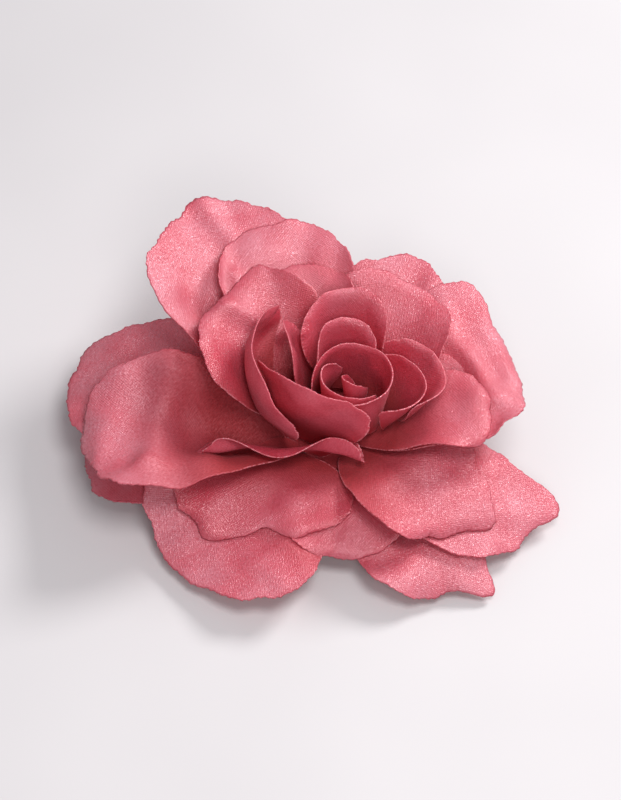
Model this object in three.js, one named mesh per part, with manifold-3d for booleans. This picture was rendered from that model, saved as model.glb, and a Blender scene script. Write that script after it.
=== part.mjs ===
// Flower hair clip: a satin rose on a felt disc, glued to a sprung alligator clip.
// Millimetres, +Z up. The origin is on the resting plane, under the middle of the flower.
// The clip lies along X with its tips towards +X, and the jaw turns about Y.

import * as THREE from 'three';
import { mergeVertices } from 'three/addons/utils/BufferGeometryUtils.js';
import Module from 'manifold-3d';

const wasm = await Module();
wasm.setup();

// ---- Driving dimensions ----
const GAP = 0.3;
const WELD = 1e-4;
const FLAT_ENDS = { bevelEnabled: false, curveSegments: 6 };
const HOLE_SIDES = 16;
const SHEET_STEEL = 0.8;
const CLIP_TIP_X = 30;
const CLIP_TAIL_X = -21;
const CLIP_WIDTH = 9;
const CLIP_TIP_WIDTH = 6.6;
const CLIP_CORNER = 2;
const PLATE_Z = 6.2;
const PIN_X = -10;
const PIN_Z = 3.5;
const PIN_RADIUS = 0.75;
const PIN_HEAD_RADIUS = 1.3;
const PIN_HEAD_LENGTH = 0.5;
const EAR_RADIUS = 1.8;
const EAR_FLARE = 1.4;
const JAW_BEND_X = 8;
const JAW_BEND_STEPS = 8;
const JAW_RISE = 4.95;
const RAIL_START_X = 15;
const RAIL_TOP_Z = 5.9;
const TOOTH_DEPTH = 0.8;
const TOOTH_COUNT = 6;
const RAIL_INSET = 0.1;
const OVERRUN = 1;
const SPRING_RADIUS = 1.75;
const SPRING_WIRE_RADIUS = 0.3;
const SPRING_TURNS = 3;
const SPRING_PITCH = 1;
const SPRING_LEG = 7.5;
const SPRING_SIDES = 6;
const SPRING_STEPS = 56;
const GLUE_THICKNESS = 0.4;
const GLUE_HALF_LENGTH = 14;
const GLUE_MARGIN = 0.8;
const GLUE_X = 4;
const GLUE_SIDES = 20;
const FELT_RADIUS = 18;
const FELT_THICKNESS = 1;
const FELT_SIDES = 32;
const RECEPTACLE_RADIUS = 6.5;
const RECEPTACLE_THICKNESS = 0.7;
const RECEPTACLE_SIDES = 24;
const PEG_RADIUS = 1.6;
const PEG_TOP_Z = 13.6;
const PEG_SIDES = 12;
const CORE_RADIUS = 1.5;
const CORE_TOP_Z = 21;
const CORE_SHOULDER = 2;
const CORE_POINT = 1.5;
const CORE_FOOT_SHARE = 0.8;
const CORE_NECK_SHARE = 0.6;
const PETAL_THICKNESS = 0.7;
const PETAL_GRID = 6;
const MIDRIB_STEPS = 24;
const ACROSS_STEPS = 6;
const ROLL_START = 0.55;
const ROLL_LIMIT = 1.3;

// ---- Materials ----
const satin = { color: 0xcd5f6e, roughness: 0.45, metalness: 0 };
const steel = { color: 0xc9cacc, roughness: 0.3, metalness: 1 };
const springSteel = { color: 0xaeb0b4, roughness: 0.35, metalness: 1 };
const felt = { color: 0xc77683, roughness: 0.95, metalness: 0 };
const plastic = { color: 0xd8a3a6, roughness: 0.5, metalness: 0 };
const glue = { color: 0xe9e2cf, roughness: 0.4, metalness: 0 };

// ---- Helpers: geometry to solid and back ----
function toSolid(geometry) {
  const bare = geometry.clone();
  bare.deleteAttribute('normal');
  bare.deleteAttribute('uv');
  const merged = mergeVertices(bare, WELD);
  return new wasm.Manifold(new wasm.Mesh({
    numProp: 3,
    vertProperties: new Float32Array(merged.attributes.position.array),
    triVerts: new Uint32Array(merged.index.array),
  }));
}

function toGeometry(solid) {
  const mesh = solid.getMesh();
  const geometry = new THREE.BufferGeometry();
  geometry.setAttribute('position', new THREE.BufferAttribute(new Float32Array(mesh.vertProperties), 3));
  geometry.setIndex(new THREE.BufferAttribute(new Uint32Array(mesh.triVerts), 1));
  return geometry;
}

function largestBody(solid) {
  const bodies = solid.decompose();
  return bodies.reduce((best, body) => (body.volume() > best.volume() ? body : best));
}

function part(name, geometry, look) {
  const mesh = new THREE.Mesh(geometry, new THREE.MeshStandardMaterial(look));
  mesh.name = name;
  return mesh;
}

// An upright cylinder from z0 to z1.
function post(radius, z0, z1, sides, x = 0, y = 0) {
  const geometry = new THREE.CylinderGeometry(radius, radius, z1 - z0, sides);
  geometry.rotateX(Math.PI / 2);
  return geometry.translate(x, y, (z0 + z1) / 2);
}

// A cylinder along Y on the hinge axis.
function hingeCylinder(radius, y0, y1, sides) {
  const geometry = new THREE.CylinderGeometry(radius, radius, y1 - y0, sides);
  return geometry.translate(PIN_X, (y0 + y1) / 2, PIN_Z);
}

// An outline in X and Z, extruded along Y from y0 to y1.
function sidePlate(shape, y0, y1) {
  const geometry = new THREE.ExtrudeGeometry(shape, { depth: y1 - y0, ...FLAT_ENDS });
  geometry.rotateX(Math.PI / 2);
  return geometry.translate(0, y1, 0);
}

// ---- Clip: fixed plate, moving jaw, pin and spring ----
const earTop = CLIP_WIDTH / 2;
const earInner = earTop - SHEET_STEEL;
const jawEarTop = earInner - GAP;
const jawEarInner = jawEarTop - SHEET_STEEL;

// The plan of both steel plates: corners cut straight at the tail, narrowing to a rounded tip.
function clipPlan() {
  const half = CLIP_WIDTH / 2;
  const tipHalf = CLIP_TIP_WIDTH / 2;
  const shape = new THREE.Shape();
  shape.moveTo(CLIP_TAIL_X + CLIP_CORNER, -half);
  shape.lineTo(RAIL_START_X, -half);
  shape.lineTo(CLIP_TIP_X - CLIP_CORNER, -tipHalf);
  shape.quadraticCurveTo(CLIP_TIP_X, -tipHalf, CLIP_TIP_X, CLIP_CORNER - tipHalf);
  shape.lineTo(CLIP_TIP_X, tipHalf - CLIP_CORNER);
  shape.quadraticCurveTo(CLIP_TIP_X, tipHalf, CLIP_TIP_X - CLIP_CORNER, tipHalf);
  shape.lineTo(RAIL_START_X, half);
  shape.lineTo(CLIP_TAIL_X + CLIP_CORNER, half);
  shape.lineTo(CLIP_TAIL_X, half - CLIP_CORNER);
  shape.lineTo(CLIP_TAIL_X, CLIP_CORNER - half);
  return shape;
}

function planPrism(z0, z1) {
  const geometry = new THREE.ExtrudeGeometry(clipPlan(), { depth: z1 - z0, ...FLAT_ENDS });
  return geometry.translate(0, 0, z0);
}

// A lug round the pin, reaching to the plate at plateZ.
function earShape(plateZ) {
  const foot = EAR_RADIUS + EAR_FLARE;
  const up = Math.sign(plateZ - PIN_Z);
  const shape = new THREE.Shape();
  shape.moveTo(PIN_X - foot, plateZ);
  shape.lineTo(PIN_X - EAR_RADIUS, PIN_Z);
  shape.absarc(PIN_X, PIN_Z, EAR_RADIUS, Math.PI, 0, up < 0);
  shape.lineTo(PIN_X + foot, plateZ);
  return shape;
}

function makePlate() {
  const bite = SHEET_STEEL / 2;
  let solid = toSolid(planPrism(PLATE_Z, PLATE_Z + SHEET_STEEL));
  for (const side of [-1, 1]) {
    const y = [side * earInner, side * earTop].sort((a, b) => a - b);
    solid = solid.add(toSolid(sidePlate(earShape(PLATE_Z + bite), y[0], y[1])));
  }
  return solid.subtract(toSolid(hingeCylinder(PIN_RADIUS + GAP, -CLIP_WIDTH, CLIP_WIDTH, HOLE_SIDES)));
}

// Height of the jaw's sheet above the resting plane.
function jawZ(x) {
  const along = Math.max(0, (x - JAW_BEND_X) / (CLIP_TIP_X - JAW_BEND_X));
  return JAW_RISE * along * along;
}

function jawSheetShape() {
  const upper = [new THREE.Vector2(CLIP_TAIL_X - OVERRUN, SHEET_STEEL)];
  const lower = [new THREE.Vector2(CLIP_TAIL_X - OVERRUN, 0)];
  for (let i = 0; i <= JAW_BEND_STEPS; i += 1) {
    const x = JAW_BEND_X + ((CLIP_TIP_X - JAW_BEND_X) * i) / JAW_BEND_STEPS;
    upper.push(new THREE.Vector2(x, jawZ(x) + SHEET_STEEL));
    lower.push(new THREE.Vector2(x, jawZ(x)));
  }
  return new THREE.Shape([...lower, ...upper.reverse()]);
}

// The serrated rail along each side of the jaw.
function railShape() {
  const end = CLIP_TIP_X - CLIP_CORNER;
  const pitch = (end - RAIL_START_X) / TOOTH_COUNT;
  const points = [];
  for (let i = 0; i <= TOOTH_COUNT; i += 1) {
    const x = RAIL_START_X + i * pitch;
    points.push(new THREE.Vector2(x, jawZ(x) + SHEET_STEEL / 2));
  }
  for (let i = TOOTH_COUNT; i > 0; i -= 1) {
    const x = RAIL_START_X + i * pitch;
    points.push(new THREE.Vector2(x, RAIL_TOP_Z - TOOTH_DEPTH));
    points.push(new THREE.Vector2(x - pitch / 2, RAIL_TOP_Z));
  }
  points.push(new THREE.Vector2(RAIL_START_X, RAIL_TOP_Z - 2 * TOOTH_DEPTH));
  return new THREE.Shape(points);
}

function makeJaw() {
  const bite = SHEET_STEEL / 2;
  let solid = toSolid(sidePlate(jawSheetShape(), -CLIP_WIDTH, CLIP_WIDTH));
  for (const side of [-1, 1]) {
    const ear = [side * jawEarInner, side * jawEarTop].sort((a, b) => a - b);
    solid = solid.add(toSolid(sidePlate(earShape(bite), ear[0], ear[1])));
    const rail = toSolid(sidePlate(railShape(), -SHEET_STEEL / 2, SHEET_STEEL / 2));
    const slope = Math.atan2((CLIP_WIDTH - CLIP_TIP_WIDTH) / 2, CLIP_TIP_X - CLIP_CORNER - RAIL_START_X);
    const turned = toGeometry(rail).translate(-RAIL_START_X, 0, 0).rotateZ(-side * slope);
    const y = side * (CLIP_WIDTH / 2 - SHEET_STEEL / 2 - RAIL_INSET);
    solid = solid.add(toSolid(turned.translate(RAIL_START_X, y, 0)));
  }
  solid = solid.intersect(toSolid(planPrism(-OVERRUN, PLATE_Z)));
  return solid.subtract(toSolid(hingeCylinder(PIN_RADIUS + GAP, -CLIP_WIDTH, CLIP_WIDTH, HOLE_SIDES)));
}

function makePin() {
  const shoulder = CLIP_WIDTH / 2 + GAP;
  const end = shoulder + PIN_HEAD_LENGTH;
  const points = [
    new THREE.Vector2(0, -end),
    new THREE.Vector2(PIN_HEAD_RADIUS, -end),
    new THREE.Vector2(PIN_HEAD_RADIUS, -shoulder),
    new THREE.Vector2(PIN_RADIUS, -shoulder),
    new THREE.Vector2(PIN_RADIUS, shoulder),
    new THREE.Vector2(PIN_HEAD_RADIUS, shoulder),
    new THREE.Vector2(PIN_HEAD_RADIUS, end),
    new THREE.Vector2(0, end),
  ];
  return new THREE.LatheGeometry(points, HOLE_SIDES);
}

// Wire of the torsion spring: a leg on the jaw's tail, the coil, then a leg under the plate's tail.
class SpringWire extends THREE.Curve {
  getPoint(t, target = new THREE.Vector3()) {
    const legAngle = Math.asin((PLATE_Z - PIN_Z - SPRING_WIRE_RADIUS - GAP - SPRING_RADIUS) / SPRING_LEG);
    const turn = 2 * Math.PI * SPRING_TURNS + Math.PI + 2 * legAngle;
    const coilLength = turn * SPRING_RADIUS;
    const total = coilLength + 2 * SPRING_LEG;
    const along = t * total - SPRING_LEG;
    const wound = Math.min(Math.max(along, 0), coilLength) / SPRING_RADIUS;
    const angle = -Math.PI / 2 - legAngle + wound;
    const spare = along - wound * SPRING_RADIUS;
    const y = SPRING_PITCH * (wound / (2 * Math.PI) - turn / (4 * Math.PI));
    return target.set(
      SPRING_RADIUS * Math.cos(angle) - spare * Math.sin(angle),
      y,
      SPRING_RADIUS * Math.sin(angle) + spare * Math.cos(angle),
    );
  }
}

function makeSpring() {
  const section = new THREE.Shape();
  for (let i = 0; i < SPRING_SIDES; i += 1) {
    const a = (2 * Math.PI * i) / SPRING_SIDES;
    const x = SPRING_WIRE_RADIUS * Math.cos(a);
    const y = SPRING_WIRE_RADIUS * Math.sin(a);
    if (i === 0) section.moveTo(x, y);
    else section.lineTo(x, y);
  }
  const path = new SpringWire();
  return new THREE.ExtrudeGeometry(section, { ...FLAT_ENDS, extrudePath: path, steps: SPRING_STEPS });
}

// ---- Backing: glue pad, felt disc, receptacle, peg and bud core ----
const glueZ = PLATE_Z + SHEET_STEEL + GAP;
const feltZ = glueZ + GLUE_THICKNESS + GAP;
const receptacleZ = feltZ + FELT_THICKNESS + GAP;
const receptacleTop = receptacleZ + RECEPTACLE_THICKNESS;
const pegZ = receptacleTop + GAP;

function makeGluePad() {
  const geometry = new THREE.CylinderGeometry(1, 1, GLUE_THICKNESS, GLUE_SIDES);
  geometry.rotateX(Math.PI / 2);
  geometry.scale(GLUE_HALF_LENGTH, CLIP_WIDTH / 2 - GLUE_MARGIN, 1);
  return geometry.translate(GLUE_X, 0, glueZ + GLUE_THICKNESS / 2);
}

// A pointed stem inside the bud; grow widens it all round for use as a cutter.
function coreGeometry(grow = 0) {
  const foot = PEG_TOP_Z + GAP;
  const points = [
    new THREE.Vector2(0, foot - grow),
    new THREE.Vector2(CORE_RADIUS * CORE_FOOT_SHARE + grow, foot - grow),
    new THREE.Vector2(CORE_RADIUS + grow, foot + CORE_SHOULDER),
    new THREE.Vector2(CORE_RADIUS * CORE_NECK_SHARE + grow, CORE_TOP_Z - CORE_POINT),
    new THREE.Vector2(0, CORE_TOP_Z + grow),
  ];
  const geometry = new THREE.LatheGeometry(points, PEG_SIDES);
  return geometry.rotateX(Math.PI / 2).translate(BUD.x0, BUD.y0, 0);
}

// ---- Petals ----
// az: direction that the petal points in, degrees from +X; r0, z0: where its neck starts;
// x0, y0: centre that r0 is measured from; L, W: cut length and width;
// lean, tip: slope at the neck and at the tip; curl: how late the slope changes;
// cup: how far each side bends up; roll: how far the side edges turn back out;
// tilt: turn about the petal's own midrib; skew: one side longer than the other;
// taper: how much wider the tip half is; wave, waves, phase: ruffle of the rim;
// corners: [where on the rim in degrees from the tip, how far out, how wide].
const PETAL = {
  r0: 4, z0: 12, x0: 0, y0: 0, lean: 20, tip: 0, curl: 1.5, cup: 10, roll: 0,
  tilt: 0, skew: 0, taper: 0.3, wave: 0.8, waves: 3, phase: 0, corners: [],
};
const BUD = { x0: 5, y0: 3, wave: 0.5 };

const PETALS = {
  bud_heart: { ...BUD, az: -129, r0: 1.5, L: 13, W: 13, lean: 86, tip: 102, z0: 16, cup: 150,
    taper: -0.15 },
  bud_front: { ...BUD, az: -140, r0: 6.3, L: 15.5, W: 25, lean: 84, tip: 90, z0: 15.5, cup: 105 },
  bud_outer: { ...BUD, az: 35, r0: 7, L: 17, W: 44, lean: 86, tip: 84, z0: 15, cup: 150 },
  bud_back: { ...BUD, az: 104, r0: 9, L: 20, W: 19, lean: 78, tip: 78, z0: 15, cup: 85 },
  inner_right_small: { ...BUD, az: -3, r0: 8.2, L: 16, W: 24, lean: 52, tip: 72, z0: 15, cup: 85 },
  inner_back: { ...BUD, az: 96, r0: 10, L: 25, W: 24, lean: 66, tip: 70, z0: 14.5, cup: 85 },
  inner_right: { ...BUD, az: 14, r0: 9.6, L: 18, W: 26, lean: 42, tip: 66, z0: 14.5, cup: 75,
    tilt: 6 },
  inner_front: { x0: -5, y0: -1, az: -117, r0: 2.5, L: 21.5, W: 31, lean: 84, tip: 99, z0: 13.5,
    cup: 30, tilt: -6 },
  inner_back_left: { x0: 0, y0: 3, az: 135, r0: 4.5, L: 24, W: 12, lean: 64, tip: 68, z0: 14,
    cup: 15, tilt: 40 },
  inner_left: { x0: -5, y0: 6, az: 188, r0: 8.5, L: 26, W: 37, lean: 45, tip: 118, curl: 1, z0: 14,
    cup: 66, skew: -0.3 },
  third_back_left: { az: 137, r0: 9, L: 33, W: 34, lean: 49, tip: 20, z0: 13.2, cup: 55, roll: 30,
    corners: [[-24, 0.1, 12], [2, -0.06, 12]] },
  third_back: { az: 106, r0: 8.5, L: 33, W: 27, lean: 50, tip: 24, z0: 12.8, cup: 40 },
  third_front: { x0: -10.5, az: -95, r0: 4.5, L: 11, W: 37, lean: 50, tip: 64, z0: 12, cup: -5,
    tilt: 6, wave: 2.2, waves: 5, phase: -90 },
  third_back_right: { az: 57, r0: 6, L: 35, W: 31, lean: 42, tip: 18, z0: 12.8, cup: 40 },
  third_right: { az: -3, L: 34, W: 20, lean: 28, tip: -6, z0: 13.4, cup: 20, tilt: 10 },
  third_right_back: { az: 19, L: 31, W: 15, lean: 22, tip: 0, z0: 13, cup: 15, tilt: 20 },
  second_back: { az: 109, r0: 8.5, L: 45, W: 32, lean: 48, tip: 4, cup: 25 },
  second_right: { az: 21, L: 44, W: 41, lean: 30, tip: 0, cup: 20, corners: [[42, 0.13, 16]] },
  second_front_right: { az: -35, L: 37, W: 33, lean: 16, tip: -34, z0: 12.5, cup: 12,
    corners: [[4, 0.22, 10], [50, -0.18, 22], [-42, -0.1, 22]] },
  second_left: { az: 187, L: 54, W: 34, lean: 26, tip: -16, curl: 1, cup: 45, roll: 25, tilt: -5,
    taper: 0.5 },
  second_front_left: { x0: -13, az: -98, r0: 3, L: 24.5, W: 41, lean: 12, tip: -46, z0: 11.4,
    cup: 10, taper: 0.15, corners: [[-22, 0.2, 10], [6, -0.19, 10], [38, -0.05, 18]] },
  second_front: { az: -80, L: 28, W: 28, lean: 0, tip: -30, z0: 11 },
  outer_back_left: { az: 126, L: 61, W: 36, lean: 36, tip: 10, z0: 11, cup: 25,
    corners: [[54, 0.10, 15], [16, -0.07, 18]] },
  outer_back_right: { az: 63, L: 43, W: 27, lean: 30, tip: 12, z0: 11, cup: 15,
    corners: [[0, 0.08, 20]] },
  outer_right: { az: -27, L: 48, W: 31, lean: 2, tip: -18, z0: 10.6,
    corners: [[22, 0.2, 12], [62, -0.12, 22], [-35, -0.06, 25]] },
  outer_front_right: { az: -51, L: 44, W: 30, lean: 0, tip: -20, z0: 10.6,
    corners: [[10, 0.24, 10], [58, -0.14, 22]] },
  outer_front_left: { az: -134, L: 44, W: 44, lean: 0, tip: -22, z0: 10.6, cup: 12 },
  outer_left: { az: 166, L: 59, W: 40, lean: 14, tip: -16, z0: 10.8, cup: 8 },
  outer_lower_left: { az: 184, L: 53, W: 30, lean: 2, tip: -18, z0: 10.6, cup: 12 },
};

const rad = THREE.MathUtils.degToRad;

// Where the midrib is, and its slope, a fraction s of the way from neck to tip.
function midrib(p, s) {
  const step = s / MIDRIB_STEPS;
  let out = p.r0;
  let up = p.z0;
  for (let i = 0; i < MIDRIB_STEPS; i += 1) {
    const slope = rad(p.lean + (p.tip - p.lean) * Math.max(0, (i + 0.5) * step) ** p.curl);
    out += p.L * step * Math.cos(slope);
    up += p.L * step * Math.sin(slope);
  }
  return { out, up, slope: rad(p.lean + (p.tip - p.lean) * Math.max(0, s) ** p.curl) };
}

// A point of the petal's middle surface from a point (X, Y) of the unit disc; Y is -1 at the neck.
function petalPoint(p, X, Y) {
  const around = Math.atan2(X, Y);
  const radius = Math.hypot(X, Y);
  let grow = 1;
  for (const [at, amount, wide] of p.corners) {
    const off = THREE.MathUtils.euclideanModulo(THREE.MathUtils.radToDeg(around) - at + 180, 360) - 180;
    grow += amount * Math.exp(-((off / wide) ** 2)) * radius * radius;
  }
  const half = p.W / 2;
  const across = half * X * grow * (1 + p.taper * Y * grow);
  const s = (Y * grow + 1) / 2 + (p.skew * across) / p.L;
  const { out, up, slope } = midrib(p, s);
  let sideways = 0;
  let raised = 0;
  for (let i = 0; i < ACROSS_STEPS; i += 1) {
    const share = (((i + 0.5) / ACROSS_STEPS) * Math.abs(across)) / half;
    const outer = THREE.MathUtils.clamp((share - ROLL_START) / (1 - ROLL_START), 0, ROLL_LIMIT);
    const bend = rad(p.cup) * share - rad(p.roll) * outer * outer;
    sideways += (Math.cos(bend) * across) / ACROSS_STEPS;
    raised += (Math.sin(bend) * Math.abs(across)) / ACROSS_STEPS;
  }
  raised += p.wave * radius ** 3 * Math.sin(around * p.waves + rad(p.phase));
  const az = rad(p.az);
  const tilt = rad(p.tilt);
  const outward = new THREE.Vector3(Math.cos(az), Math.sin(az), 0);
  const side = new THREE.Vector3(-Math.sin(az), Math.cos(az), 0);
  const above = new THREE.Vector3(0, 0, Math.cos(slope)).addScaledVector(outward, -Math.sin(slope));
  return new THREE.Vector3(p.x0, p.y0, up)
    .addScaledVector(outward, out)
    .addScaledVector(side, sideways * Math.cos(tilt) - raised * Math.sin(tilt))
    .addScaledVector(above, raised * Math.cos(tilt) + sideways * Math.sin(tilt));
}

// A closed sheet of even thickness over a square grid that is mapped to the disc.
// A margin widens it all round for use as a cutter.
function petalGeometry(p, margin = 0) {
  const size = PETAL_GRID + 1;
  const thickness = PETAL_THICKNESS + 2 * margin;
  const middle = [];
  for (let i = 0; i < size; i += 1) {
    for (let j = 0; j < size; j += 1) {
      const u = (2 * i) / PETAL_GRID - 1;
      const v = (2 * j) / PETAL_GRID - 1;
      middle.push(petalPoint(p, u * Math.sqrt(1 - (v * v) / 2), v * Math.sqrt(1 - (u * u) / 2)));
    }
  }
  const inward = (i) => THREE.MathUtils.clamp(i, 1, PETAL_GRID - 1);
  const widened = middle.map((point, k) => {
    const i = Math.floor(k / size);
    const j = k % size;
    const inner = middle[inward(i) * size + inward(j)];
    const out = point.clone().sub(inner);
    return out.length() > 0 ? point.clone().addScaledVector(out.normalize(), 2 * margin) : point;
  });
  const faces = [];
  for (let i = 0; i < PETAL_GRID; i += 1) {
    for (let j = 0; j < PETAL_GRID; j += 1) {
      const a = i * size + j;
      const diagonal = (2 * i < PETAL_GRID) === (2 * j < PETAL_GRID);
      if (diagonal) faces.push([a, a + size, a + size + 1], [a, a + size + 1, a + 1]);
      else faces.push([a, a + size, a + 1], [a + size, a + size + 1, a + 1]);
    }
  }
  const normals = middle.map(() => new THREE.Vector3());
  const edge = new THREE.Vector3();
  for (const [a, b, c] of faces) {
    const normal = middle[b].clone().sub(middle[a]).cross(edge.copy(middle[c]).sub(middle[a]));
    for (const k of [a, b, c]) normals[k].add(normal);
  }
  const count = middle.length;
  const position = [];
  for (const face of [1, -1]) {
    widened.forEach((point, k) => {
      const shift = normals[k].clone().normalize().multiplyScalar((face * thickness) / 2);
      position.push(...point.clone().add(shift).toArray());
    });
  }
  const index = [];
  for (const [a, b, c] of faces) index.push(a, b, c, a + count, c + count, b + count);
  const rim = [];
  for (let i = 0; i < PETAL_GRID; i += 1) rim.push(i * size);
  for (let j = 0; j < PETAL_GRID; j += 1) rim.push(PETAL_GRID * size + j);
  for (let i = PETAL_GRID; i > 0; i -= 1) rim.push(i * size + PETAL_GRID);
  for (let j = PETAL_GRID; j > 0; j -= 1) rim.push(j);
  rim.forEach((a, k) => {
    const b = rim[(k + 1) % rim.length];
    index.push(b, a, a + count, b, a + count, b + count);
  });
  const geometry = new THREE.BufferGeometry();
  geometry.setAttribute('position', new THREE.Float32BufferAttribute(position, 3));
  geometry.setIndex(index);
  return geometry;
}

// Each petal is trimmed where it would meet the backing or a petal that lies on top of it.
function makePetals() {
  const keepOut = [
    post(FELT_RADIUS + GAP, feltZ - GAP, feltZ + FELT_THICKNESS + GAP, FELT_SIDES),
    post(RECEPTACLE_RADIUS + GAP, receptacleZ, receptacleTop + GAP, RECEPTACLE_SIDES),
    post(PEG_RADIUS + GAP, receptacleZ, PEG_TOP_Z + GAP, PEG_SIDES),
    coreGeometry(GAP),
  ].map(toSolid);
  const made = [];
  for (const [name, own] of Object.entries(PETALS)) {
    const p = { ...PETAL, ...own };
    let solid = toSolid(petalGeometry(p));
    for (const cutter of keepOut) solid = solid.subtract(cutter);
    made.push(part(name, toGeometry(largestBody(solid)), satin));
    keepOut.push(toSolid(petalGeometry(p, GAP)));
  }
  return made;
}

// ---- Assembly ----
const clip = new THREE.Group();
clip.add(part('clip_plate', toGeometry(makePlate()), steel));
clip.add(part('clip_jaw', toGeometry(makeJaw()), steel));
const hinge = new THREE.Group();
hinge.position.set(PIN_X, 0, PIN_Z);
hinge.add(part('hinge_pin', makePin(), steel));
hinge.add(part('torsion_spring', makeSpring(), springSteel));
clip.add(hinge);

const backing = new THREE.Group();
backing.add(part('glue_pad', makeGluePad(), glue));
backing.add(part('felt_disc', post(FELT_RADIUS, feltZ, feltZ + FELT_THICKNESS, FELT_SIDES), felt));
const receptacle = post(RECEPTACLE_RADIUS, receptacleZ, receptacleTop, RECEPTACLE_SIDES);
backing.add(part('receptacle', receptacle, plastic));
backing.add(part('stem_peg', post(PEG_RADIUS, pegZ, PEG_TOP_Z, PEG_SIDES), plastic));
backing.add(part('bud_core', coreGeometry(), plastic));

const rose = new THREE.Group();
rose.add(...makePetals());

const group = new THREE.Group();
group.add(clip, backing, rose);

export default group;
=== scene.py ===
import math

import bpy
import numpy as np
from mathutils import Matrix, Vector
from mathutils.bvhtree import BVHTree


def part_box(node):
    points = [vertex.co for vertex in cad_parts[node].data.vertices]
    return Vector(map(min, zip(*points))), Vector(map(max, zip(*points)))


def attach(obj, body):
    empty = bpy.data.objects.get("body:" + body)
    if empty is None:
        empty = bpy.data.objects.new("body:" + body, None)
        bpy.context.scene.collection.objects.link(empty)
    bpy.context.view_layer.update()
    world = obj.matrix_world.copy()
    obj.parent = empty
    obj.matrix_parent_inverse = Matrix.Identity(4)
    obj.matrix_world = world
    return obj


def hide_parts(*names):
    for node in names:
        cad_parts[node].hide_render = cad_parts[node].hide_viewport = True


# A satin rose on a felt disc and an alligator clip, lying on a pale table.
# The petals' own sizes are in millimetres and are turned into metres as each mesh is made.

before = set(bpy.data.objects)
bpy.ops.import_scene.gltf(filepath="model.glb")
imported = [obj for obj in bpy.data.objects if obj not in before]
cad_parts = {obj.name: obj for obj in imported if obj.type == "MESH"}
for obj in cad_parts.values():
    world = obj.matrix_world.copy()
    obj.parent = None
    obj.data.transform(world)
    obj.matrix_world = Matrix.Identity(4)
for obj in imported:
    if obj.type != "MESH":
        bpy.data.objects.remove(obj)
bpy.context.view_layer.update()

MM = 0.001
CLOTH = 0.28          # thickness of the starched satin
LAYER_GAP = 0.62      # least distance between the middles of two petals that touch
COARSE = 19           # grid of each petal while the petals are moved apart
FINE = 81             # grid of each finished petal
SEPARATE_ROUNDS = 40
PUSH_REACH = 3.0      # how far through another petal a point may lie and still be pushed back
RETURN = 0.01         # share of its displacement that a petal springs back in each round
# The petals are painted paler towards their tips: a painted highlight.
PALE_FROM, PALE_TO = 16, 46      # how far from its neck a petal starts and ends to pale, in mm
FLOWER = "flower"
ROLL_START, ROLL_SPAN = 0.55, 0.45   # where roll starts across a petal, and over how much it grows
ROLL_LIMIT = 1.3      # the most that roll counts
ACROSS_STEPS = 24     # steps in which a petal is bent across
LIP_STEPS = 8         # steps in which a rolled rim is bent
SLOPE_STEP = 1e-3     # distance on the disc over which slopes are measured
FACING = 0.8          # how squarely a point has to face the other petal to be pushed
FELT_MARGIN, FELT_CLEAR = 0.4, 0.5   # petals stay this far out and up from the felt, in mm
NECK_REACH = 0.8      # distance on the disc over which the painted shade near the neck fades
RIM_FROM, RIM_WIDTH = 0.984, 0.014   # where on the disc the frayed rim starts, and how fast
PALE_OFFSET = 4       # added to the distance from the neck, in mm
FELT_GRID = 49        # grid of the felt disc
FELT_SEED = 7
RUMPLE_SEED = 1000    # the petals' own numbers are added to this
WEAVE_TURN = 38       # angle of the weave to the petal's midrib, in degrees
TINY = 1e-9           # keeps a length that is divided by from being zero

# ---------------------------------------------------------------- petals: the shapes
# Lengths are in mm and angles in degrees, as in the CAD source: az is the direction that the
# petal points in; r0, z0 is where its neck starts, r0 being measured from x0, y0; L and W are
# its cut length and width; lean and tip are its slopes at neck and tip, and curl says how late
# the slope changes; cup bends each side up and roll turns the side edges back out; tilt turns it
# about its midrib; skew makes one side longer; taper widens the tip half; wave, waves and phase
# ruffle the rim; corners are (degrees from the tip, how far out, how wide).
# lips are stretches of rim that roll over, (degrees from the tip, how far over, how wide, radius
# on the unit disc where the bend starts), downwards where positive. folds are soft ridges across
# the cloth, (x, y, x, y, height, width) on the disc, with y -1 at the neck and x towards the left
# side seen from the middle; crease is how strongly the cloth is rumpled; dark is how far up the
# petal the painted shade near its neck reaches, as a y on the disc.

PETAL = dict(r0=4, z0=12, x0=0, y0=0, lean=20, tip=0, curl=1.5, cup=10, roll=0, tilt=0,
             skew=0, taper=0.3, wave=0.8, waves=3, phase=0, corners=(), lips=(), folds=(),
             crease=1.0, dark=0.25)
BUD = dict(x0=5, y0=3, crease=0.45, wave=0.5)

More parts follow.
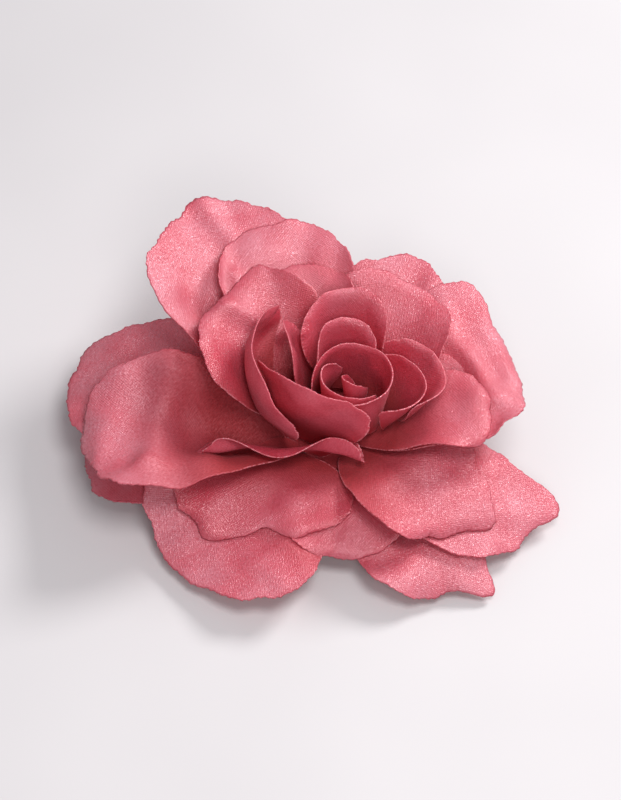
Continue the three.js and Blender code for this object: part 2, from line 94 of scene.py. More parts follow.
PETALS = {
    "bud_heart": dict(
        BUD, az=-129, r0=1.5, L=13, W=13, lean=86, tip=102, z0=16, cup=150, taper=-0.15),
    "bud_front": dict(
        BUD, az=-140, r0=6.3, L=15.5, W=25, lean=84, tip=90, z0=15.5, cup=105,
        lips=((-20, -30, 60, 0.8),)),
    "bud_outer": dict(
        BUD, az=35, r0=7, L=17, W=44, lean=86, tip=84, z0=15, cup=150, lips=((20, 40, 60, 0.8),)),
    "bud_back": dict(
        BUD, az=104, r0=9, L=20, W=19, lean=78, tip=78, z0=15, cup=85, lips=((-30, 60, 50, 0.75),)),
    "inner_right_small": dict(
        BUD, az=-3, r0=8.2, L=16, W=24, lean=52, tip=72, z0=15, cup=85, lips=((10, 35, 60, 0.8),)),
    "inner_back": dict(
        BUD, az=96, r0=10, L=25, W=24, lean=66, tip=70, z0=14.5, cup=85,
        lips=((-40, 80, 40, 0.72), (60, 110, 40, 0.68))),
    "inner_right": dict(
        BUD, az=14, r0=9.6, L=18, W=26, lean=42, tip=66, z0=14.5, cup=75, tilt=6,
        lips=((15, 60, 50, 0.76),)),
    "inner_front": dict(
        x0=-5, y0=-1, az=-117, r0=2.5, L=21.5, W=31, lean=84, tip=99, z0=13.5, cup=30, tilt=-6),
    "inner_back_left": dict(
        x0=0, y0=3, az=135, r0=4.5, L=24, W=12, lean=64, tip=68, z0=14, cup=15, tilt=40),
    "inner_left": dict(
        x0=-5, y0=6, az=188, r0=8.5, L=26, W=37, lean=45, tip=118, curl=1, z0=14, cup=66, skew=-0.3,
        lips=((-60, 40, 40, 0.8),)),
    "third_back_left": dict(
        az=137, r0=9, L=33, W=34, lean=49, tip=20, z0=13.2, cup=55, roll=30,
        corners=((-24, 0.1, 12), (2, -0.06, 12)), lips=((25, 60, 50, 0.72),),
        folds=((-0.3, 0.1, 0.1, 0.9, 1.8, 0.14),)),
    "third_back": dict(
        az=106, r0=8.5, L=33, W=27, lean=50, tip=24, z0=12.8, cup=40, lips=((30, 45, 50, 0.78),)),
    "third_front": dict(
        x0=-10.5, az=-95, r0=4.5, L=11, W=37, lean=50, tip=64, z0=12, cup=-5, tilt=6, wave=2.2,
        waves=5, phase=-90),
    "third_back_right": dict(
        az=57, r0=6, L=35, W=31, lean=42, tip=18, z0=12.8, cup=40, lips=((0, 35, 80, 0.78),)),
    "third_right": dict(
        az=-3, L=34, W=20, lean=28, tip=-6, z0=13.4, cup=20, tilt=10, lips=((10, 60, 55, 0.7),),
        folds=((-0.8, 0.3, 0.8, 0.2, 1.0, 0.3),), dark=0.5),
    "third_right_back": dict(az=19, L=31, W=15, lean=22, tip=0, z0=13, cup=15, tilt=20),
    "second_back": dict(
        az=109, r0=8.5, L=45, W=32, lean=48, tip=4, cup=25, lips=((75, -75, 32, 0.72),),
        folds=((0.75, -0.5, 0.62, 0.5, 2.0, 0.12),)),
    "second_right": dict(
        az=21, L=44, W=41, lean=30, tip=0, cup=20, corners=((42, 0.13, 16),),
        lips=((0, 70, 55, 0.66),), folds=((0.5, 0.4, -0.5, 0.5, 2.4, 0.13),)),
    "second_front_right": dict(
        az=-35, L=37, W=33, lean=16, tip=-34, z0=12.5, cup=12,
        corners=((4, 0.22, 10), (50, -0.18, 22), (-42, -0.1, 22)), lips=((-30, 45, 40, 0.72),)),
    "second_left": dict(
        az=187, L=54, W=34, lean=26, tip=-16, curl=1, cup=45, roll=25, tilt=-5, taper=0.5,
        lips=((-10, 40, 45, 0.74),),
        folds=((0.05, -0.3, -0.1, -0.1, -6.0, 0.36), (-0.75, 0.2, 0.5, 0.45, 2.2, 0.14),
               (-0.2, 0.75, 0.3, 0.95, 1.2, 0.12)),
        dark=0.65),
    "second_front_left": dict(
        x0=-13, az=-98, r0=3, L=24.5, W=41, lean=12, tip=-46, z0=11.4, cup=10, taper=0.15,
        corners=((-22, 0.2, 10), (6, -0.19, 10), (38, -0.05, 18)),
        lips=((40, 45, 30, 0.75), (-40, 35, 30, 0.75))),
    "second_front": dict(az=-80, L=28, W=28, lean=0, tip=-30, z0=11, lips=((0, 35, 60, 0.75),)),
    "outer_back_left": dict(
        az=126, L=61, W=36, lean=36, tip=10, z0=11, cup=25,
        corners=((54, 0.10, 15), (16, -0.07, 18)),
        folds=((-0.15, -0.2, 0.55, 0.25, -1.2, 0.16), (-0.25, 0.1, -0.2, 0.95, 1.6, 0.13))),
    "outer_back_right": dict(
        az=63, L=43, W=27, lean=30, tip=12, z0=11, cup=15, corners=((0, 0.08, 20),),
        folds=((-0.4, -0.1, -0.35, 0.8, 1.2, 0.14),)),
    "outer_right": dict(
        az=-27, L=48, W=31, lean=2, tip=-18, z0=10.6,
        corners=((22, 0.2, 12), (62, -0.12, 22), (-35, -0.06, 25)), lips=((-10, 25, 50, 0.7),),
        folds=((-0.3, 0.0, 0.1, 0.8, 1.0, 0.2),)),
    "outer_front_right": dict(
        az=-51, L=44, W=30, lean=0, tip=-20, z0=10.6, corners=((10, 0.24, 10), (58, -0.14, 22)),
        lips=((-20, 30, 60, 0.7),)),
    "outer_front_left": dict(az=-134, L=44, W=44, lean=0, tip=-22, z0=10.6, cup=12),
    "outer_left": dict(az=166, L=59, W=40, lean=14, tip=-16, z0=10.8, cup=8),
    "outer_lower_left": dict(az=184, L=53, W=30, lean=2, tip=-18, z0=10.6, cup=12),
}


def disc_grid(count):
    """X and Y of a square grid of points that is bent to fill the unit disc."""
    line = np.linspace(-1, 1, count)
    u, v = np.meshgrid(line, line, indexing="ij")
    return u * np.sqrt(1 - v * v / 2), v * np.sqrt(1 - u * u / 2)


def cut_outline(p, seed, x, y):
    """Where a point of the unit disc lies on the flat petal: across and along the midrib, in mm."""
    around = np.degrees(np.arctan2(x, y))
    radius = np.hypot(x, y)
    grow = np.ones_like(x)
    for at, amount, wide in p["corners"]:
        off = (around - at + 180) % 360 - 180
        grow += amount * np.exp(-(off / wide) ** 2) * radius ** 2
    turn = np.radians(around)
    scallops = 0.016 * np.sin(5 * turn + 1.7 * seed) + 0.012 * np.sin(9 * turn + 2.9 * seed)
    scallops += 0.009 * np.sin(14 * turn + 0.7 * seed) + 0.006 * np.sin(23 * turn + 2.3 * seed)
    fray = 0.004 * np.sin(61 * turn + 1.3 * seed) + 0.004 * np.sin(97 * turn + 2.1 * seed)
    free_rim = 0.4 + 0.6 * np.clip(y + 0.4, 0, 1)
    grow += (scallops * radius ** 4 + fray * radius ** 12) * free_rim
    across = p["W"] / 2 * x * grow * (1 + p["taper"] * y * grow)
    along = (y * grow + 1) / 2 + p["skew"] * across / p["L"]
    return across, along * p["L"]


def midrib(p, s):
    """How far out and up the midrib is, and its slope, a fraction s of the way along."""
    table = np.linspace(-0.5, 1.7, 441)
    slope = np.radians(p["lean"] + (p["tip"] - p["lean"]) * np.clip(table, 0, None) ** p["curl"])
    step = (table[1] - table[0]) * p["L"]

    def run(rate):
        total = np.concatenate([[0], np.cumsum((rate[1:] + rate[:-1]) / 2 * step)])
        return np.interp(s, table, total - np.interp(0, table, total))

    return p["r0"] + run(np.cos(slope)), p["z0"] + run(np.sin(slope)), np.interp(s, table, slope)


def rumple(p, seed, across, along):
    """Soft irregular folds of the cloth, in mm, the same on any grid."""
    rng = np.random.default_rng(RUMPLE_SEED + seed)
    height = np.zeros_like(across)
    for length, amount in ((26, 0.55), (15, 0.30), (9, 0.14), (5.5, 0.045)):
        for _ in range(4):
            turn = rng.uniform(0, 2 * math.pi)
            wave = 2 * math.pi / (length * rng.uniform(0.8, 1.25))
            phase = rng.uniform(0, 2 * math.pi)
            way = across * math.cos(turn) + along * math.sin(turn)
            height += amount / 2 * np.sin(wave * way + phase)
    return height * p["crease"]


def ridges(p, x, y):
    """The petal's own long folds, in mm."""
    height = np.zeros_like(x)
    for x0, y0, x1, y1, up, wide in p["folds"]:
        dx, dy = x1 - x0, y1 - y0
        t = np.clip(((x - x0) * dx + (y - y0) * dy) / (dx * dx + dy * dy), 0, 1)
        away = np.hypot(x - x0 - t * dx, y - y0 - t * dy)
        height += up * np.exp(-(away / wide) ** 2)
    return height


def bent_sheet(p, seed, x, y):
    """Points of the smooth petal, in mm, bent along its midrib and across it."""
    across, along = cut_outline(p, seed, x, y)
    half = p["W"] / 2
    out, up, slope = midrib(p, along / p["L"])
    sideways = np.zeros_like(across)
    raised = np.zeros_like(across)
    for i in range(ACROSS_STEPS):
        share = (i + 0.5) / ACROSS_STEPS * np.abs(across) / half
        outer = np.clip((share - ROLL_START) / ROLL_SPAN, 0, ROLL_LIMIT)
        bend = math.radians(p["cup"]) * share - math.radians(p["roll"]) * outer ** 2
        sideways += np.cos(bend) * across / ACROSS_STEPS
        raised += np.sin(bend) * np.abs(across) / ACROSS_STEPS
    az, tilt = math.radians(p["az"]), math.radians(p["tilt"])
    outward = np.array([math.cos(az), math.sin(az), 0])
    side = np.array([-math.sin(az), math.cos(az), 0])
    above = np.stack([-np.sin(slope) * outward[0], -np.sin(slope) * outward[1], np.cos(slope)], -1)
    points = out[..., None] * outward + np.array([p["x0"], p["y0"], 0])
    points[..., 2] += up
    points += (sideways * math.cos(tilt) - raised * math.sin(tilt))[..., None] * side
    points += (raised * math.cos(tilt) + sideways * math.sin(tilt))[..., None] * above
    return points


def unit(vectors):
    return vectors / np.maximum(np.linalg.norm(vectors, axis=-1, keepdims=True), TINY)


def rolled_rim(p, x, y, outward, normal):
    """How far the rolled stretches of rim move each point, bent round an arc of unchanged length."""
    radius, around = np.hypot(x, y), np.degrees(np.arctan2(x, y))
    reach = np.hypot(p["W"] / 2 * x, p["L"] / 2 * y) / np.maximum(radius, TINY)
    shift = np.zeros((*x.shape, 3))
    for at, turn, wide, start in p["lips"]:
        off = (around - at + 180) % 360 - 180
        over = math.radians(turn) * np.exp(-(off / wide) ** 2)
        share = np.clip((radius - start) / (1 - start), 0, 1)
        length = share * (1 - start) * reach / LIP_STEPS
        for i in range(LIP_STEPS):
            angle = over * ((i + 0.5) / LIP_STEPS * share) ** 1.5
            shift += (length * (np.cos(angle) - 1))[..., None] * outward
            shift -= (length * np.sin(angle))[..., None] * normal
    return shift


def petal_surface(p, seed, count):
    """The middle surface of a petal as count x count points, in mm."""
    x, y = disc_grid(count)
    radius, around = np.hypot(x, y), np.arctan2(x, y)
    across, along = cut_outline(p, seed, x, y)
    points = bent_sheet(p, seed, x, y)
    along_x = bent_sheet(p, seed, x + SLOPE_STEP, y) - points
    along_y = bent_sheet(p, seed, x, y + SLOPE_STEP) - points
    normal = unit(np.cross(along_y, along_x))
    away = np.maximum(radius, TINY)
    outward = unit(along_x * (x / away)[..., None] + along_y * (y / away)[..., None])
    height = p["wave"] * radius ** 3 * np.sin(around * p["waves"] + math.radians(p["phase"]))
    height += (rumple(p, seed, across, along) + ridges(p, x, y)) * np.clip(1.15 + y, 0, 1)
    return points + height[..., None] * normal + rolled_rim(p, x, y, outward, normal)


def flat_area(p, seed):
    """Area of the flat petal in mm2."""
    turn = np.linspace(0, 2 * math.pi, 721)
    across, along = cut_outline(p, seed, np.sin(turn), np.cos(turn))
    return abs(np.sum(across[:-1] * along[1:] - across[1:] * along[:-1])) / 2


# ---------------------------------------------------------------- petals: moved clear of each other

def grid_quads(count):
    """Corner numbers of each square of the grid; its normal is on the petal's upper side."""
    i, j = np.meshgrid(np.arange(count - 1), np.arange(count - 1), indexing="ij")
    a = (i * count + j).ravel()
    return np.stack([a, a + 1, a + count + 1, a + count], -1)


def smooth_grid(values, rounds):
    """Averages each grid point with its neighbours."""
    for _ in range(rounds):
        pad = np.pad(values, ((1, 1), (1, 1), (0, 0)), mode="edge")
        values = (pad[1:-1, 1:-1] * 2 + pad[:-2, 1:-1] + pad[2:, 1:-1] + pad[1:-1, :-2] + pad[1:-1, 2:]) / 6
    return values


def push_from(points, tree, side, reach, quads, mine, theirs):
    """Gathers what moves each point to the wanted side of the other petal; column 3 counts them."""
    for k, point in enumerate(points):
        near, normal, face, distance = tree.find_nearest(point, reach)
        if near is None:
            continue
        height = (Vector(point) - near).dot(normal) * side
        if height >= LAYER_GAP or abs(height) < FACING * distance:
            continue
        move = np.append(np.array(normal) * side * (LAYER_GAP - height) / 2, 1)
        mine[k] += move
        theirs[quads[face], :3] -= move[:3]
        theirs[quads[face], 3] += 1


def separate(surfaces):
    """Pushes crossing petals apart. Names come in order from the innermost, which lies on top."""
    names = list(surfaces)
    quads = grid_quads(COARSE)
    faces = quads.tolist()
    moved = {name: np.zeros((COARSE, COARSE, 3)) for name in names}
    felt_high = np.array(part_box("felt_disc")[1]) / MM
    felt_radius, felt_top = felt_high[0] + FELT_MARGIN, felt_high[2] + FELT_CLEAR
    for _ in range(SEPARATE_ROUNDS):
        now = {name: (surfaces[name] + moved[name]).reshape(-1, 3) for name in names}
        trees = {name: BVHTree.FromPolygons(now[name].tolist(), faces) for name in names}
        pushes = {name: np.zeros((COARSE * COARSE, 4)) for name in names}
        low = {name: now[name].min(0) - LAYER_GAP for name in names}
        high = {name: now[name].max(0) + LAYER_GAP for name in names}
        for i, upper in enumerate(names):
            for lower in names[i + 1:]:
                if (low[upper] > high[lower]).any() or (low[lower] > high[upper]).any():
                    continue
                for name, other, side in ((upper, lower, 1), (lower, upper, -1)):
                    inside = ((now[name] > low[other]) & (now[name] < high[other])).all(1)
                    mine = np.zeros((int(inside.sum()), 4))
                    push_from(now[name][inside], trees[other], side, PUSH_REACH, quads, mine, pushes[other])
                    pushes[name][inside] += mine
        for name in names:
            push = pushes[name][:, :3] / np.maximum(pushes[name][:, 3:], 1)
            over_felt = np.hypot(now[name][:, 0], now[name][:, 1]) < felt_radius
            push[:, 2] += np.where(over_felt, np.clip(felt_top - now[name][:, 2], 0, None), 0)
            moved[name] += push.reshape(COARSE, COARSE, 3)
            moved[name] = smooth_grid(moved[name], 1) * (1 - RETURN)
    return moved


def refine(values, count):
    """A coarse grid of vectors on a finer grid, by Catmull-Rom weights along both directions."""
    coarse = values.shape[0]
    at = np.linspace(0, coarse - 1, count)
    cell = np.minimum(at.astype(int), coarse - 2)
    t = at - cell
    weights = np.zeros((count, coarse))
    curve = (
        (-t + 2 * t ** 2 - t ** 3) / 2,
        (2 - 5 * t ** 2 + 3 * t ** 3) / 2,
        (t + 4 * t ** 2 - 3 * t ** 3) / 2,
        (-t ** 2 + t ** 3) / 2,
    )
    for k, weight in enumerate(curve):
        np.add.at(weights, (np.arange(count), np.clip(cell + k - 1, 0, coarse - 1)), weight)
    return np.einsum("ai,bj,ijk->abk", weights, weights, values)


# ---------------------------------------------------------------- materials

def new_material(name):
    """A material with its Principled shader, and a function that adds and wires nodes."""
    material = bpy.data.materials.new(name)
    material.use_nodes = True
    tree = material.node_tree
    shader = tree.nodes["Principled BSDF"]

    def add(kind, inputs=None, **settings):
        node = tree.nodes.new(kind)
        for key, value in settings.items():
            setattr(node, key, value)
        for key, value in (inputs or {}).items():
            if isinstance(value, bpy.types.NodeSocket):
                tree.links.new(value, node.inputs[key])
            else:
                node.inputs[key].default_value = value
        return node

    return material, shader, add


def ramp(add, factor, stops):
    """A colour ramp over factor, from (position, colour) stops."""
    node = add("ShaderNodeValToRGB", {"Fac": factor})
    elements = node.color_ramp.elements
    while len(elements) < len(stops):
        elements.new(0.5)
    for element, (position, colour) in zip(elements, stops):
        element.position = position
        element.color = (*colour, 1)
    return node.outputs["Color"]


def value_ramp(add, factor, low, high, start=0.0, end=1.0):
    """factor between start and end, stretched to low and high."""
    node = add("ShaderNodeMapRange", {"Value": factor, "From Min": start, "From Max": end,
                                      "To Min": low, "To Max": high})
    return node.outputs["Result"]


def join(tree, output, socket):
    tree.links.new(output, socket)


def satin_material(name, look):
    """Starched satin: coarse glittering threads with painted glints, cloudy dyed tone, and a rim of cut
    thread ends.
    """
    material, shader, add = new_material(name)
    tree = material.node_tree
    cloth = add("ShaderNodeUVMap", uv_map="cloth").outputs["UV"]
    rotation = (0, 0, math.radians(WEAVE_TURN))
    turned = add("ShaderNodeMapping", {"Vector": cloth, "Rotation": rotation}).outputs["Vector"]
    warp, weft = (
        add("ShaderNodeTexWave", {"Vector": turned, "Scale": pitch, "Distortion": uneven, "Detail": 2.0,
                                  "Detail Scale": 1.1},
            wave_type="BANDS", bands_direction=way).outputs["Fac"]
        for way, pitch, uneven in (("X", 0.8, 2.0), ("Y", 0.66, 2.4))
    )
    threads = add("ShaderNodeMath", {0: warp, 1: weft}, operation="MULTIPLY").outputs["Value"]
    stretched = add("ShaderNodeMapping", {"Vector": turned, "Scale": (1.0, 0.4, 1.0)}).outputs["Vector"]
    grains = add("ShaderNodeTexNoise", {"Vector": stretched, "Scale": 3.0, "Detail": 2.0,
                                        "Roughness": 0.7}).outputs["Fac"]
    cloud = add("ShaderNodeTexNoise", {"Vector": cloth, "Scale": 0.07, "Detail": 3.0,
                                       "Roughness": 0.55}).outputs["Fac"]
    rim, neck, pale = (add("ShaderNodeAttribute", attribute_name=name).outputs["Fac"]
                       for name in ("rim", "neck", "pale"))

    inner = ramp(add, cloud, ((0.3, look["deep"]), (0.7, look["light"])))
    outer = ramp(add, cloud, ((0.3, look["light"]), (0.7, look["pale"])))
    # Painted highlight: towards the tips the colour is mixed to the pale colour, by the pale attribute.
    dye_and_painted_highlight = add("ShaderNodeMix", {"Factor": pale, 6: inner, 7: outer}, data_type="RGBA").outputs[2]
    # Painted glints: the grains make the colour a little darker or much whiter, partly the floats' random
    # tone and partly painted glints of light.
    floats_and_painted_glints = ramp(add, grains, ((0.36, (0.78, 0.62, 0.66)), (0.66, (1.14, 1.85, 1.72))))
    woven_with_painted_glints = add("ShaderNodeMix", {"Factor": look["grain"], 6: dye_and_painted_highlight, 7: floats_and_painted_glints},
                data_type="RGBA", blend_type="MULTIPLY").outputs[2]
    # Painted shade: the colour is darkened towards each petal's neck, deep in the flower, by the neck
    # attribute.
    painted_neck_shade = value_ramp(add, neck, 0.0, 0.9)
    shaded = add("ShaderNodeMix", {"Factor": painted_neck_shade, 6: woven_with_painted_glints, 7: (*look["deep"], 1)},
                 data_type="RGBA", blend_type="MULTIPLY").outputs[2]
    cut_ends = add("ShaderNodeMath", {0: rim, 1: value_ramp(add, grains, 0.0, 1.0, 0.4, 0.6)},
                   operation="MULTIPLY")
    hem = ramp(add, pale, ((0.1, look["edge"]), (0.6, look["hem"])))
    edged = add("ShaderNodeMix", {"Factor": cut_ends.outputs["Value"], 6: shaded, 7: hem},
                data_type="RGBA").outputs[2]
    join(tree, edged, shader.inputs["Base Color"])

    rough = value_ramp(add, grains, look["rough"] + 0.12, look["rough"] - 0.18, 0.35, 0.65)
    duller = add("ShaderNodeMath", {0: value_ramp(add, neck, 0.0, 0.45), 1: rough},
                 operation="ADD").outputs["Value"]
    join(tree, duller, shader.inputs["Roughness"])
    weave_bump = add("ShaderNodeBump", {"Strength": look["weave"], "Distance": 0.00012, "Height": threads})
    grain_bump = add("ShaderNodeBump", {"Strength": look["bump"], "Distance": 0.0002, "Height": grains,
                                        "Normal": weave_bump.outputs["Normal"]})
    join(tree, grain_bump.outputs["Normal"], shader.inputs["Normal"])
    shader.inputs["Specular IOR Level"].default_value = look["specular"]
    shader.inputs["IOR"].default_value = look["ior"]
    shader.inputs["Specular Tint"].default_value = (1.0, 0.74, 0.78, 1)
    shader.inputs["Sheen Weight"].default_value = look["sheen"]
    shader.inputs["Sheen Roughness"].default_value = 0.3
    shader.inputs["Sheen Tint"].default_value = (1.0, 0.6, 0.66, 1)

    through = add("ShaderNodeBsdfTranslucent", {"Color": (*look["through"], 1)})
    mix = add("ShaderNodeMixShader", {"Fac": look["clear"], 1: shader.outputs["BSDF"],
                                      2: through.outputs["BSDF"]})
    join(tree, mix.outputs["Shader"], tree.nodes["Material Output"].inputs["Surface"])
    return material


# grain sets how strongly the floats' random tone and their painted glints show in the colour.
SATIN = dict(hem=(0.46, 0.05, 0.085), through=(0.88, 0.15, 0.21), clear=0.32)
SATIN_FACE = dict(
    SATIN, deep=(0.52, 0.026, 0.052), light=(0.61, 0.084, 0.126), pale=(0.67, 0.20, 0.262),
    edge=(0.74, 0.24, 0.29), grain=0.85, rough=0.36, weave=0.5, bump=1.0, specular=1.0, ior=1.58, sheen=0.05)
SATIN_BACK = dict(
    SATIN, deep=(0.49, 0.042, 0.070), light=(0.60, 0.100, 0.142), pale=(0.68, 0.18, 0.232),
    edge=(0.80, 0.33, 0.38), grain=0.4, rough=0.6, weave=0.4, bump=0.4, specular=0.3, ior=1.5, sheen=0.1)


def metal_material(name, tint, rough, scratch):
    """Plated steel: faint brushing along the strip, fine scratches, duller in patches."""
    material, shader, add = new_material(name)
    tree = material.node_tree
    place = add("ShaderNodeTexCoord").outputs["Object"]
    along = add("ShaderNodeMapping", {"Vector": place, "Scale": (90, 2200, 2200)}).outputs["Vector"]
    brush = add("ShaderNodeTexNoise", {"Vector": along, "Scale": 1.0, "Detail": 4.0})
    patches = add("ShaderNodeTexNoise", {"Vector": place, "Scale": 130, "Detail": 3.0})
    tone = ramp(add, patches.outputs["Fac"], ((0.3, tuple(0.86 * c for c in tint)), (0.7, tint)))
    join(tree, tone, shader.inputs["Base Color"])
    dull = value_ramp(add, patches.outputs["Fac"], rough - 0.07, rough + 0.12, 0.3, 0.7)
    join(tree, dull, shader.inputs["Roughness"])
    bump = add("ShaderNodeBump", {"Strength": scratch, "Distance": 0.00002, "Height": brush.outputs["Fac"]})
    join(tree, bump.outputs["Normal"], shader.inputs["Normal"])
    shader.inputs["Metallic"].default_value = 1.0
    return material


def felt_material():
    """Pressed felt: matted fibres with a soft nap."""
    material, shader, add = new_material("felt")
    tree = material.node_tree
    place = add("ShaderNodeTexCoord").outputs["Object"]
    fibres = add("ShaderNodeTexNoise", {"Vector": place, "Scale": 1400, "Detail": 6.0, "Distortion": 1.6})
    clumps = add("ShaderNodeTexNoise", {"Vector": place, "Scale": 260, "Detail": 4.0})
    mixed = add("ShaderNodeMix", {0: 0.25, 2: fibres.outputs["Fac"], 3: clumps.outputs["Fac"]}).outputs[0]
    tone = ramp(add, mixed, ((0.38, (0.50, 0.145, 0.18)), (0.62, (0.66, 0.24, 0.28))))
    join(tree, tone, shader.inputs["Base Color"])
    bump = add("ShaderNodeBump", {"Strength": 0.8, "Distance": 0.0003, "Height": mixed})
    join(tree, bump.outputs["Normal"], shader.inputs["Normal"])
    shader.inputs["Roughness"].default_value = 0.95
    shader.inputs["Sheen Weight"].default_value = 0.5
    shader.inputs["Sheen Roughness"].default_value = 0.6
    return material


def moulded_material(name, tint, rough, clear):
    """Moulded plastic or set glue: slight flow marks, a little light through it."""
    material, shader, add = new_material(name)
    tree = material.node_tree
    place = add("ShaderNodeTexCoord").outputs["Object"]
    flow = add("ShaderNodeTexNoise", {"Vector": place, "Scale": 180, "Detail": 3.0, "Distortion": 0.8})
    grain = add("ShaderNodeTexNoise", {"Vector": place, "Scale": 1800, "Detail": 3.0})
    tone = ramp(add, flow.outputs["Fac"], ((0.3, tuple(0.82 * c for c in tint)), (0.7, tint)))
    join(tree, tone, shader.inputs["Base Color"])
    dull = value_ramp(add, flow.outputs["Fac"], rough - 0.08, rough + 0.1, 0.3, 0.7)
    join(tree, dull, shader.inputs["Roughness"])
    bump = add("ShaderNodeBump", {"Strength": 0.25, "Distance": 0.0001, "Height": grain.outputs["Fac"]})
    join(tree, bump.outputs["Normal"], shader.inputs["Normal"])
    shader.inputs["Subsurface Weight"].default_value = clear
    shader.inputs["Subsurface Scale"].default_value = 0.001
    return material


# ---------------------------------------------------------------- pieces

def mesh_object(name, points, faces, materials):
    """A smooth-shaded mesh object from points in metres."""
    mesh = bpy.data.meshes.new(name)
    mesh.from_pydata(points.tolist(), [], faces.tolist())
    mesh.update()
    mesh.shade_smooth()
    for material in materials:
        mesh.materials.append(material)
    piece = bpy.data.objects.new(name, mesh)
    bpy.context.scene.collection.objects.link(piece)
    return piece


def point_attribute(piece, name, values):
    layer = piece.data.attributes.new(name, "FLOAT", "POINT")
    layer.data.foreach_set("value", values.ravel().astype(np.float32))


def make_petal(node, p, seed, moved, face, back):
    """The finished petal: a thin closed sheet with its weave laid out flat."""
    points = petal_surface(p, seed, FINE) + refine(moved, FINE)
    quads = grid_quads(FINE)
    piece = mesh_object(node + "_satin", points.reshape(-1, 3) * MM, quads, (face, back))
    x, y = disc_grid(FINE)
    across, along = cut_outline(p, seed, x, y)
    flat = np.stack([across.ravel(), along.ravel()], -1)
    layer = piece.data.uv_layers.new(name="cloth")
    layer.data.foreach_set("uv", flat[quads.ravel()].astype(np.float32).ravel())
    radius = np.hypot(x, y)
    # Painted highlight: the paleness paints the petals lighter towards their tips.
    from_neck = p["L"] * (y + 1) / 2 + PALE_OFFSET
    paleness = np.clip((from_neck - PALE_FROM) / (PALE_TO - PALE_FROM), 0, 1)
    point_attribute(piece, "pale", paleness)
    point_attribute(piece, "rim", np.clip((radius - RIM_FROM) / RIM_WIDTH, 0, 1))
    # Painted shade: the neck attribute darkens the cloth below y = dark on the disc, most strongly near the
    # neck.
    point_attribute(piece, "neck", np.clip(p["dark"] - y, 0, NECK_REACH) / NECK_REACH)
    sheet = piece.modifiers.new("cloth", "SOLIDIFY")
    sheet.thickness = CLOTH * MM
    sheet.offset = 0
    sheet.material_offset = 1
    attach(piece, FLOWER)
    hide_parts(node)
    float(flat_area(p, seed)) * MM ** 2
    return piece


def make_rose():
    face = satin_material("satin_face", SATIN_FACE)
    back = satin_material("satin_back", SATIN_BACK)
    petals = {name: dict(PETAL, **own) for name, own in PETALS.items()}
    seeds = {name: k + 1 for k, name in enumerate(petals)}
    moved = separate({name: petal_surface(p, seeds[name], COARSE) for name, p in petals.items()})
    for name, p in petals.items():
        make_petal(name, p, seeds[name], moved[name], face, back)


def make_felt():
    """The felt disc: slightly uneven, with a soft trimmed edge."""
    low, high = (np.array(corner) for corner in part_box("felt_disc"))
    x, y = disc_grid(FELT_GRID)
    rng = np.random.default_rng(FELT_SEED)
    height = np.zeros_like(x)
    for _ in range(24):
        turn = rng.uniform(0, 2 * math.pi)
        wave = rng.uniform(4, 30)
        phase = rng.uniform(0, 2 * math.pi)
        height += 0.010 * MM * np.sin(wave * (x * math.cos(turn) + y * math.sin(turn)) + phase)
    radius = (high[0] - low[0]) / 2
    around = np.arctan2(x, y)
    trim = 1 - 0.008 * (1 + np.sin(5 * around) * np.sin(11 * around)) * np.hypot(x, y) ** 6
    level = (low[2] + high[2]) / 2 + height
    points = np.stack([x * radius * trim, y * radius * trim, level], -1).reshape(-1, 3)
    piece = mesh_object("felt_backing", points, grid_quads(FELT_GRID), (felt_material(),))
    sheet = piece.modifiers.new("felt", "SOLIDIFY")
    sheet.thickness = high[2] - low[2] - 0.1 * MM
    sheet.offset = 0
    soften = piece.modifiers.new("soften", "BEVEL")
    soften.width = 0.25 * MM
    soften.segments = 3
    soften.angle_limit = math.radians(60)
    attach(piece, FLOWER)
    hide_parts("felt_disc")


def make_glue():
    """Set hot glue between plate and felt, squeezed out in a lumpy bead."""
    low, high = (np.array(corner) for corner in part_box("glue_pad"))
    plate_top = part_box("clip_plate")[1][2]
    felt_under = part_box("felt_disc")[0][2]
    middle, half = (low + high) / 2, (high - low) / 2
    rings, around = 17, 96
    tilt = np.linspace(-math.pi / 2, math.pi / 2, rings)[:, None]
    turn = np.linspace(0, 2 * math.pi, around, endpoint=False)[None, :]
    lumps = 1 + 0.05 * np.sin(3 * turn + 1) + 0.04 * np.sin(7 * turn + 2) + 0.03 * np.sin(13 * turn)
    flat = np.abs(np.cos(tilt)) ** 0.35
    x = middle[0] + half[0] * flat * lumps * np.cos(turn)
    y = middle[1] + (half[1] + 1.3 * MM) * flat * lumps * np.sin(turn)
    z = (plate_top + felt_under) / 2 + (felt_under - plate_top) / 2 * np.sin(tilt) * np.ones_like(turn)
    points = np.stack([x, y, z], -1).reshape(-1, 3)
    quads = []
    for i in range(rings - 1):
        for j in range(around):
            k = (j + 1) % around
            quads.append((i * around + j, i * around + k, (i + 1) * around + k, (i + 1) * around + j))
    material = moulded_material("hot_glue", (0.80, 0.74, 0.60), 0.35, 0.4)
    piece = mesh_object("glue_bead", points, np.array(quads), (material,))
    close = piece.modifiers.new("close", "WELD")
    close.merge_threshold = 0.01 * MM
    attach(piece, FLOWER)
    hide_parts("glue_pad")


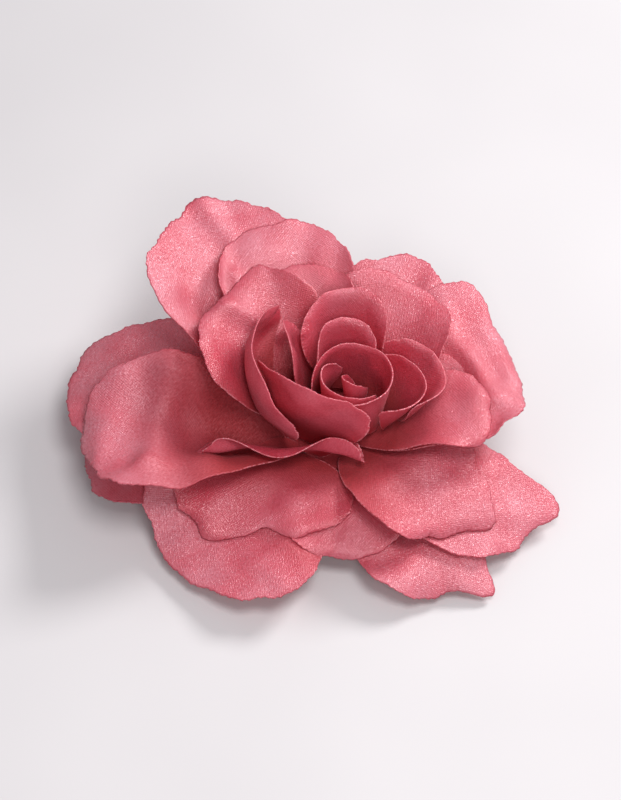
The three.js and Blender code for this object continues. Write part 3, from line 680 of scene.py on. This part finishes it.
def finish_cad_nodes():
    """The rigid parts keep their CAD shape and get their finish and slightly broken edges."""
    nickel = metal_material("nickel_plate", (0.80, 0.78, 0.74), 0.24, 0.25)
    wire = metal_material("spring_wire", (0.62, 0.62, 0.62), 0.34, 0.1)
    plastic = moulded_material("moulded_plastic", (0.46, 0.085, 0.12), 0.5, 0.1)
    looks = {
        "clip_plate": (nickel, 0.12), "clip_jaw": (nickel, 0.12), "hinge_pin": (nickel, 0.1),
        "torsion_spring": (wire, 0), "receptacle": (plastic, 0.15), "stem_peg": (plastic, 0.15),
        "bud_core": (plastic, 0.1),
    }
    for node, (material, edge) in looks.items():
        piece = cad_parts[node]
        piece.data.materials.clear()
        piece.data.materials.append(material)
        if edge:
            soften = piece.modifiers.new("soften", "BEVEL")
            soften.width = edge * MM
            soften.segments = 2
            soften.limit_method = "ANGLE"
            soften.angle_limit = math.radians(35)


# ---------------------------------------------------------------- table, light and camera

def make_stage():
    """A pale table top."""
    size = 3.0
    corners = np.array([(-size, -size, 0), (size, -size, 0), (size, size, 0), (-size, size, 0)], float)
    material, shader, add = new_material("table_top")
    place = add("ShaderNodeTexCoord").outputs["Object"]
    speck = add("ShaderNodeTexNoise", {"Vector": place, "Scale": 12, "Detail": 2.0})
    tone = ramp(add, speck.outputs["Fac"], ((0.3, (0.49, 0.476, 0.49)), (0.7, (0.52, 0.506, 0.52))))
    join(material.node_tree, tone, shader.inputs["Base Color"])
    shader.inputs["Roughness"].default_value = 0.7
    shader.inputs["Specular IOR Level"].default_value = 0.25
    mesh_object("table", corners, np.array([[0, 1, 2, 3]]), (material,))


def area_light(name, place, target, size, watts, tint):
    """A round soft light at place, facing target."""
    light = bpy.data.lights.new(name, "AREA")
    light.shape = "DISK"
    light.size = size
    light.energy = watts
    light.color = tint
    lamp = bpy.data.objects.new(name, light)
    lamp.location = place
    lamp.rotation_euler = (Vector(place) - Vector(target)).to_track_quat("Z", "Y").to_euler()
    bpy.context.scene.collection.objects.link(lamp)


def make_lights():
    """A soft window from the right and behind, a softer light overhead and a weak one in front."""
    world = bpy.data.worlds.new("studio")
    world.use_nodes = True
    sky = world.node_tree.nodes["Background"]
    sky.inputs["Color"].default_value = (0.98, 0.965, 1.0, 1)
    sky.inputs["Strength"].default_value = 0.42
    bpy.context.scene.world = world
    area_light("window", (0.40, 0.30, 0.44), (0, 0, 0.01), 0.24, 4.3, (1.0, 0.985, 0.97))
    area_light("overhead", (0.10, -0.18, 0.58), (0, 0, 0), 0.22, 2.1, (1.0, 0.98, 0.97))
    area_light("front", (0.06, -0.44, 0.46), (0, 0, 0), 0.20, 1.2, (1.0, 0.98, 0.97))


def make_camera():
    """Looks down at the flower from the front, from 0.7 m away."""
    elevation, distance = math.radians(52), 0.700
    view_height = 0.1865
    sensor = 36
    back = Vector((0, -math.cos(elevation), math.sin(elevation)))
    upright = Vector((0, math.sin(elevation), math.cos(elevation)))
    target = Vector((-0.0045, 0, 0)) + upright * 0.0154
    camera = bpy.data.cameras.new("camera")
    camera.sensor_width = sensor
    camera.lens = sensor * distance / view_height
    camera.clip_start = 0.01
    eye = bpy.data.objects.new("camera", camera)
    eye.location = target + back * distance
    eye.rotation_euler = back.to_track_quat("Z", "Y").to_euler()
    bpy.context.scene.collection.objects.link(eye)
    bpy.context.scene.camera = eye
    bpy.context.scene.view_settings.view_transform = "Standard"


make_camera()
make_stage()
make_lights()
make_rose()
make_felt()
make_glue()
finish_cad_nodes()
